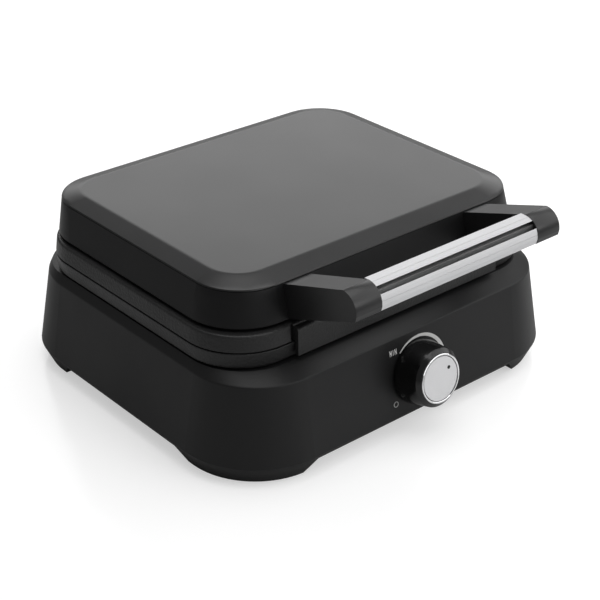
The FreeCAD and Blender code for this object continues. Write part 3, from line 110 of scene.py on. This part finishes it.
# %% [markdown]
# ### Handling marks and dust
# Hands leave short hairline scuffs, and the air leaves a trace of dust on whatever faces up.  Both are very
# weak on a new appliance, but they are what tells the eye that a surface is real.

# %% Hairline scuffs
SCUFF_HALF_WIDTH = 0.006
SCUFF_BENDS, SCUFF_PLACES = 9.0, 14.0  # per metre
scuffs, s_in, s_out = new_group(
    "handling_scuffs",
    [("Place", "NodeSocketVector", None), ("Scuffs per metre", "NodeSocketFloat", 60.0)],
    [("Mask", "NodeSocketFloat")],
)
bent = add(
    scuffs, "ShaderNodeTexNoise",
    [("Vector", s_in.outputs[0]), ("Scale", SCUFF_BENDS), ("Detail", 2.0)],
)
warp = add(scuffs, "ShaderNodeVectorMath", [(0, s_in.outputs[0]), (1, bent.outputs[1])], operation="ADD")
thread = add(
    scuffs, "ShaderNodeTexNoise",
    [("Vector", warp.outputs[0]), ("Scale", s_in.outputs[1]), ("Detail", 6.0)],
)
middle = add(scuffs, "ShaderNodeMath", [(0, thread.outputs[0]), (1, 0.5)], operation="SUBTRACT")
close = add(scuffs, "ShaderNodeMath", [(0, middle.outputs[0])], operation="ABSOLUTE")
line_mask = ramp(scuffs, close.outputs[0], 0.0, SCUFF_HALF_WIDTH, 1.0, 0.0)
where = add(scuffs, "ShaderNodeTexNoise", [("Vector", s_in.outputs[0]), ("Scale", SCUFF_PLACES)])
some = ramp(scuffs, where.outputs[0], 0.52, 0.66, 0.0, 1.0)
both = add(scuffs, "ShaderNodeMath", [(0, line_mask), (1, some)], operation="MULTIPLY")
scuffs.links.new(both.outputs[0], s_out.inputs[0])
print("group:", scuffs.name)

# %% Dust on what faces up
DUST_CLOUDS, DUST_SPECKS = 45.0, 1300.0  # per metre
dust, d_in, d_out = new_group(
    "settled_dust",
    [("Place", "NodeSocketVector", None), ("Facing", "NodeSocketVector", None)],
    [("Mask", "NodeSocketFloat")],
)
up = add(dust, "ShaderNodeSeparateXYZ", [(0, d_in.outputs[1])])
flat_up = ramp(dust, up.outputs[2], 0.3, 1.0, 0.0, 1.0)
cloud = add(
    dust, "ShaderNodeTexNoise",
    [("Vector", d_in.outputs[0]), ("Scale", DUST_CLOUDS), ("Detail", 8.0)],
)
specks = add(
    dust, "ShaderNodeTexNoise",
    [("Vector", d_in.outputs[0]), ("Scale", DUST_SPECKS), ("Detail", 2.0)],
)
speck_mask = ramp(dust, specks.outputs[0], 0.66, 0.74, 0.0, 1.0)
spread = ramp(dust, cloud.outputs[0], 0.35, 0.75, 0.1, 1.0)
fallen = add(dust, "ShaderNodeMath", [(0, speck_mask), (1, spread)], operation="MULTIPLY")
lying = add(dust, "ShaderNodeMath", [(0, fallen.outputs[0]), (1, flat_up)], operation="MULTIPLY")
dust.links.new(lying.outputs[0], d_out.inputs[0])
print("group:", dust.name)

# %% [markdown]
# ### Brushed metal
# An abrasive belt leaves fine parallel lines.  Noise that is stretched some eighty times along the brushing
# direction looks just like them.  Around a turned part the same lines run in rings, so the ring version
# measures the distance from the knob's own axis first.

# %% Straight and turned brushing
ALONG_X = (0.012, 1.0, 1.0)
brushed, b_in, b_out = new_group(
    "brushed_lines",
    [("Place", "NodeSocketVector", None), ("Lines per metre", "NodeSocketFloat", 2600.0)],
    [("Tone", "NodeSocketFloat")],
)
slim = add(brushed, "ShaderNodeVectorMath", [(0, b_in.outputs[0]), (1, ALONG_X)], operation="MULTIPLY")
strands = add(
    brushed, "ShaderNodeTexNoise",
    [("Vector", slim.outputs[0]), ("Scale", b_in.outputs[1]), ("Detail", 5.0)],
)
brushed.links.new(strands.outputs[0], b_out.inputs[0])

face_low, face_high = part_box("knob_disc")
# The front wall leans back by this much over this height, in millimetres; the knob stands square to it.
WALL_LEAN, WALL_HEIGHT = 9.1, 53.8
FRONT_TILT = math.atan(WALL_LEAN / WALL_HEIGHT)
KNOB_AXIS = Vector((0.0, -math.cos(FRONT_TILT), math.sin(FRONT_TILT)))
KNOB_FACE = (face_low + face_high) / 2
turned, t_in, t_out = new_group(
    "turned_rings",
    [("Place", "NodeSocketVector", None), ("Rings per metre", "NodeSocketFloat", 3000.0)],
    [("Tone", "NodeSocketFloat")],
)
from_middle = add(
    turned, "ShaderNodeVectorMath", [(0, t_in.outputs[0]), (1, KNOB_FACE)], operation="SUBTRACT",
)
across = add(
    turned, "ShaderNodeVectorMath", [(0, from_middle.outputs[0]), (1, KNOB_AXIS)], operation="CROSS_PRODUCT",
)
radius = add(turned, "ShaderNodeVectorMath", [(0, across.outputs[0])], operation="LENGTH")
rings = add(
    turned, "ShaderNodeTexNoise",
    [("W", radius.outputs["Value"]), ("Scale", t_in.outputs[1]), ("Detail", 4.0)],
    noise_dimensions="1D",
)
turned.links.new(rings.outputs[0], t_out.inputs[0])
print("groups:", brushed.name, turned.name)

# %% [markdown]
# ## The finishes
# One function builds every plastic, another every metal.  Numbers that are the same all over a surface go
# straight on the shader; only what changes over the surface comes through a node.

# %% A function for plastics, rubbers and coatings


def start_material(name):
    """A material with only a Principled shader, its output and the piece's own coordinates."""
    material = bpy.data.materials.new(name)
    material.use_nodes = True
    tree = material.node_tree
    tree.nodes.clear()
    shader = tree.nodes.new("ShaderNodeBsdfPrincipled")
    output = tree.nodes.new("ShaderNodeOutputMaterial")
    tree.links.new(shader.outputs[0], output.inputs[0])
    place = tree.nodes.new("ShaderNodeTexCoord")
    return material, tree, shader, place.outputs["Object"]


def use_group(tree, group, *sources):
    """A node group placed in a material, with its first inputs linked or set in order."""
    made = tree.nodes.new("ShaderNodeGroup")
    made.node_tree = group
    for socket, source in zip(made.inputs, sources):
        if hasattr(source, "is_output"):
            tree.links.new(source, socket)
        else:
            socket.default_value = source
    return made


def mix_colour(tree, share, first, second):
    """Blend two colours by a mask."""
    made = add(tree, "ShaderNodeMix", data_type="RGBA")
    tree.links.new(share, made.inputs[0])
    for index, colour in ((6, first), (7, second)):
        if hasattr(colour, "is_output"):
            tree.links.new(colour, made.inputs[index])
        else:
            made.inputs[index].default_value = (*colour, 1.0)
    return made.outputs[2]


def bump(tree, shader, height, strength, depth):
    """Let a height pattern tilt the shader's normal; the depth is in metres."""
    made = add(tree, "ShaderNodeBump", [("Strength", strength), ("Distance", depth), ("Height", height)])
    tree.links.new(made.outputs[0], shader.inputs["Normal"])


DUST_COLOUR = (0.35, 0.34, 0.33)
TINT_CHANGE = 0.14
SCUFF_DULLING = 0.10
GRAIN_STRENGTH = 0.35


def moulded(name, colour, gloss, grain_size=2200.0, depth=0.00002, gloss_change=0.04, shine=0.5, dusty=0.05):
    """Coloured plastic, rubber or a baked coating with a moulded or cast grain.

    gloss is the roughness, grain_size is in grains per metre and depth in metres.
    """
    material, tree, shader, place = start_material(name)
    pattern = use_group(tree, grain, place, grain_size)
    marks = use_group(tree, scuffs, place)
    facing = add(tree, "ShaderNodeNewGeometry").outputs["Normal"]
    settled = use_group(tree, dust, place, facing)
    deep = tuple(value * (1 - TINT_CHANGE) for value in colour)
    pale = tuple(value * (1 + TINT_CHANGE) for value in colour)
    tinted = mix_colour(tree, pattern.outputs["Patches"], deep, pale)
    weak_dust = ramp(tree, settled.outputs[0], 0.0, 1.0, 0.0, dusty)
    dusted = mix_colour(tree, weak_dust, tinted, DUST_COLOUR)
    tree.links.new(dusted, shader.inputs["Base Color"])
    base_gloss = ramp(
        tree, pattern.outputs["Patches"], NOISE_LOW, NOISE_HIGH, gloss - gloss_change, gloss + gloss_change,
    )
    scuffed = add(
        tree, "ShaderNodeMath", [(0, marks.outputs[0]), (1, SCUFF_DULLING), (2, base_gloss)],
        operation="MULTIPLY_ADD",
    )
    tree.links.new(scuffed.outputs[0], shader.inputs["Roughness"])
    shader.inputs["Specular IOR Level"].default_value = shine
    bump(tree, shader, pattern.outputs["Height"], GRAIN_STRENGTH, depth)
    return material


# %% A function for metals
SLOW_GLOSS_CHANGE = 0.03
BRUSH_STRENGTH = 0.3


def metal(name, colour, gloss, pattern_group=None, density=2600.0, depth=0.000004, gloss_change=0.06,
          tone=0.08, round_bar=0.0, bare=1.0):
    """Bare or plated metal, with a brushed, turned or plain surface.

    gloss is the roughness, density is in lines per metre and depth in metres.  round_bar stretches highlights
    round a bar along X, and bare is how metallic the shader is.
    """
    material, tree, shader, place = start_material(name)
    patches = use_group(tree, grain, place, density)
    if pattern_group is None:
        pattern = patches.outputs["Height"]
    else:
        pattern = use_group(tree, pattern_group, place, density).outputs["Tone"]
    dark = tuple(value * (1 - tone) for value in colour)
    light = tuple(min(1.0, value * (1 + tone)) for value in colour)
    share = ramp(tree, pattern, NOISE_LOW, NOISE_HIGH, 0.0, 1.0)
    tree.links.new(mix_colour(tree, share, dark, light), shader.inputs["Base Color"])
    shader.inputs["Metallic"].default_value = bare
    worn = ramp(tree, pattern, 0.25, 0.75, gloss - gloss_change, gloss + gloss_change)
    slow_change = ramp(
        tree, patches.outputs["Patches"], NOISE_LOW, NOISE_HIGH, -SLOW_GLOSS_CHANGE, SLOW_GLOSS_CHANGE,
    )
    total = add(tree, "ShaderNodeMath", [(0, worn), (1, slow_change)], operation="ADD")
    tree.links.new(total.outputs[0], shader.inputs["Roughness"])
    bump(tree, shader, pattern, BRUSH_STRENGTH, depth)
    if round_bar:
        turning = add(tree, "ShaderNodeTangent", direction_type="RADIAL", axis="X")
        tree.links.new(turning.outputs[0], shader.inputs["Tangent"])
        shader.inputs["Anisotropic"].default_value = round_bar
    return material


# %% [markdown]
# The shells are black plastic with a satin grain; the lid's top is smoother, so that it mirrors the studio
# softly.  The plates are cast aluminium under a thick non-stick coat, which has a coarser, pebbled skin.
# The handle's sleeve is brushed along its length, so its highlights stretch round the bar.  It is only part
# metallic; that share was given.

# %% Mix every finish
FINISHES = {
    "housing_plastic": moulded("satin black shell", (0.0085, 0.0085, 0.0088), 0.44, shine=0.30),
    "cover_plastic": moulded(
        "matte black underside", (0.0090, 0.0090, 0.0092), 0.52, grain_size=1500.0, depth=0.00003,
        shine=0.30,
    ),
    "lid_plastic": moulded("satin black lid ring", (0.0075, 0.0075, 0.0078), 0.42, shine=0.22),
    "top_plastic": moulded(
        "smooth black lid top", (0.0100, 0.0100, 0.0103), 0.30, grain_size=3000.0, depth=0.000006,
        gloss_change=0.02, dusty=0.03,
    ),
    "arm_plastic": moulded(
        "satin black arm", (0.0105, 0.0105, 0.0108), 0.33, depth=0.00001, shine=0.45,
    ),
    "hinge_plastic": moulded("satin black hinge", (0.0100, 0.0100, 0.0105), 0.42, shine=0.35),
    "nonstick_cast": moulded(
        "non-stick coat", (0.0105, 0.0105, 0.0107), 0.44, grain_size=600.0, depth=0.00045,
        gloss_change=0.06, shine=0.42, dusty=0.0,
    ),
    "knob_plastic": moulded(
        "polished black knob", (0.0040, 0.0040, 0.0041), 0.16, grain_size=3000.0, depth=0.000003,
        gloss_change=0.03,
    ),
    "pointer_black": moulded("black inlay", (0.0050, 0.0050, 0.0050), 0.40, shine=0.3),
    "pad_rubber": moulded(
        "soft rubber", (0.0150, 0.0148, 0.0145), 0.75, grain_size=1200.0, depth=0.00005, shine=0.3,
    ),
    "gland_rubber": moulded(
        "ribbed rubber", (0.0130, 0.0128, 0.0125), 0.65, grain_size=1400.0, depth=0.00004, shine=0.3,
    ),
    "print_white": moulded(
        "printed ink", (0.62, 0.62, 0.61), 0.60, grain_size=2500.0, depth=0.00001, gloss_change=0.05,
        shine=0.3, dusty=0.0,
    ),
    "thermostat_case": moulded("pale phenolic", (0.60, 0.57, 0.50), 0.55, grain_size=1500.0),
    "terminal_plastic": moulded("off-white nylon", (0.68, 0.67, 0.62), 0.50, grain_size=1800.0),
    "brushed_sleeve": metal(
        "brushed aluminium", (0.66, 0.66, 0.67), 0.66, brushed, depth=0.00001, gloss_change=0.04, tone=0.06,
        round_bar=0.85, bare=0.35,
    ),
    "knob_chrome": metal(
        "polished chrome", (0.86, 0.86, 0.87), 0.10, turned, density=1500.0, depth=0.000001,
        gloss_change=0.03, tone=0.02,
    ),
    "knob_satin": metal(
        "satin spun disc", (0.82, 0.82, 0.83), 0.38, turned, density=4200.0, depth=0.000003,
        gloss_change=0.05, tone=0.05,
    ),
    "screw_steel": metal("zinc plated steel", (0.42, 0.42, 0.43), 0.35, density=1500.0),
    "bare_steel": metal("plain steel", (0.50, 0.50, 0.50), 0.32, density=1800.0),
    "core_steel": metal("drawn steel bar", (0.45, 0.45, 0.45), 0.38, brushed, density=1800.0),
    "element_sheath": metal("heat-tinted sheath", (0.30, 0.26, 0.22), 0.42, density=900.0, depth=0.00001),
    "shield_sheet": metal(
        "mill-finish sheet", (0.74, 0.74, 0.75), 0.34, brushed, density=1400.0, depth=0.000008,
    ),
    "sensor_brass": metal("copper bulb", (0.72, 0.40, 0.24), 0.30, density=1500.0),
    "fuse_case": metal("tinned case", (0.62, 0.62, 0.62), 0.30, density=1500.0),
}
slot_of = {part["node"]: part["material_slot"] for part in frame["record"]["subparts"]}
for name, piece in nodes.items():
    piece.data.materials.clear()
    piece.data.materials.append(FINISHES[slot_of[name]])
print("finishes:", len(FINISHES), "on", len(nodes), "pieces")

# %% [markdown]
# ## Edges
# No moulded or cast edge is perfectly sharp.  A Weld modifier joins the seams between faces, a Bevel
# modifier rounds what is still sharp, and the normals are left smooth across each small round, which is
# what catches the light along an edge.

# %% Soften the edges that a hand or a light would find
EDGE_ROUNDS = {
    "handle_arm_left": 0.0007, "handle_arm_right": 0.0007, "lid_ring": 0.0004, "bottom_cover": 0.0008,
    "control_knob": 0.0003, "hinge_arm_left": 0.0005, "hinge_arm_right": 0.0005, "knob_disc": 0.0001,
    "lid_top_cover": 0.0003,
}
SEAM_REACH = 0.000005
SHARP_ANGLE = math.radians(28)
ROUND_STEPS = 3


def soften(piece, width):
    """Round the sharp edges of a piece by a small width."""
    weld = piece.modifiers.new("join seams", "WELD")
    weld.merge_threshold = SEAM_REACH
    bevel = piece.modifiers.new("soft edges", "BEVEL")
    bevel.width = width
    bevel.segments = ROUND_STEPS
    bevel.limit_method = "ANGLE"
    bevel.angle_limit = SHARP_ANGLE
    bevel.harden_normals = True
    bevel.use_clamp_overlap = True


for name, width in EDGE_ROUNDS.items():
    soften(nodes[name], width)
print("softened:", len(EDGE_ROUNDS), "pieces")

# %% [markdown]
# ## Studio
# A white floor that runs out of sight, a sky that is white to the camera and dim in reflections, and four
# large soft lamps.  The lid's top mirrors whatever stands behind it, so a broad lamp stands there.  The two
# in front lift the front wall, the knob and the handle, and the floor before them.

# %% Floor
FLOOR_LIFT = 0.50
FLOOR_SIDE = 24.0
FLOOR_COLOUR = (0.62, 0.62, 0.62, 1.0)
FLOOR_GLOSS, FLOOR_SHINE = 0.20, 0.45
WHITE = (1.0, 1.0, 1.0, 1.0)
bpy.ops.mesh.primitive_plane_add(size=FLOOR_SIDE, location=(0.0, 0.0, 0.0))
floor = bpy.context.active_object
floor.name = "studio_floor"
floor_paint, floor_tree, floor_shader, _ = start_material("white floor")
floor_shader.inputs["Base Color"].default_value = FLOOR_COLOUR
floor_shader.inputs["Roughness"].default_value = FLOOR_GLOSS
floor_shader.inputs["Specular IOR Level"].default_value = FLOOR_SHINE
floor_shader.inputs["Emission Color"].default_value = WHITE
seen = add(floor_tree, "ShaderNodeLightPath").outputs["Is Camera Ray"]
lift = ramp(floor_tree, seen, 0.0, 1.0, 0.0, FLOOR_LIFT)
floor_tree.links.new(lift, floor_shader.inputs["Emission Strength"])
floor.data.materials.append(floor_paint)

# %% Sky and lamps
SKY_LIGHT = 0.22
world = bpy.data.worlds.new("soft sky")
bpy.context.scene.world = world
world.use_nodes = True
sky = world.node_tree
sky_seen = add(sky, "ShaderNodeLightPath").outputs["Is Camera Ray"]
sky.links.new(ramp(sky, sky_seen, 0.0, 1.0, SKY_LIGHT, 1.0), sky.nodes["Background"].inputs["Strength"])
sky.nodes["Background"].inputs["Color"].default_value = WHITE


def soft_lamp(name, place, target, wide, high, power):
    """A rectangular soft lamp that looks at a target; metres and watts."""
    light = bpy.data.lights.new(name, "AREA")
    light.shape = "RECTANGLE"
    light.size = wide
    light.size_y = high
    light.energy = power
    lamp = bpy.data.objects.new(name, light)
    bpy.context.scene.collection.objects.link(lamp)
    lamp.location = place
    lamp.rotation_euler = (Vector(target) - Vector(place)).to_track_quat("-Z", "Y").to_euler()


soft_lamp("overhead lamp", (0.15, -0.1, 1.7), (0.0, 0.0, 0.0), wide=1.8, high=1.6, power=18.0)
soft_lamp("back wall lamp", (1.3, 1.5, 0.95), (0.0, 0.0, 0.1), wide=2.2, high=1.2, power=12.0)
soft_lamp("front right lamp", (1.0, -0.8, 0.85), (0.1, -0.1, 0.05), wide=2.2, high=1.3, power=12.0)
soft_lamp("front floor lamp", (0.15, -1.3, 0.55), (0.1, -0.25, 0.0), wide=1.4, high=0.5, power=2.5)
print("lamps:", [item.name for item in bpy.data.lights])

# %% [markdown]
# ## Camera
# A long lens, a good metre away, looking down a little from the front left.  Its axes come from three plain
# angles: how far round, how far up, and a hair of roll.

# %% Camera
AROUND, ABOVE, ROLL = (math.radians(angle) for angle in (-40.801, 28.812, 0.287))
CAMERA_LENS, SENSOR_WIDTH = 89.354, 36.0
CAMERA_PLACE = Vector((-0.5999, -0.69098, 0.54666))
backwards = Vector((
    math.sin(AROUND) * math.cos(ABOVE), -math.cos(AROUND) * math.cos(ABOVE), math.sin(ABOVE),
))
sideways = Vector((math.cos(AROUND), math.sin(AROUND), 0.0))
upwards = backwards.cross(sideways)
frame_right = sideways * math.cos(ROLL) + upwards * math.sin(ROLL)
frame_top = upwards * math.cos(ROLL) - sideways * math.sin(ROLL)
camera_data = bpy.data.cameras.new("studio camera")
camera_data.lens = CAMERA_LENS
camera_data.sensor_width = SENSOR_WIDTH
camera = bpy.data.objects.new("studio camera", camera_data)
bpy.context.scene.collection.objects.link(camera)
turn = Matrix((frame_right, frame_top, backwards)).transposed().to_4x4()
camera.matrix_world = Matrix.Translation(CAMERA_PLACE) @ turn
bpy.context.scene.camera = camera
bpy.context.scene.view_settings.view_transform = "Standard"
print("camera at", tuple(round(value, 3) for value in camera.location))
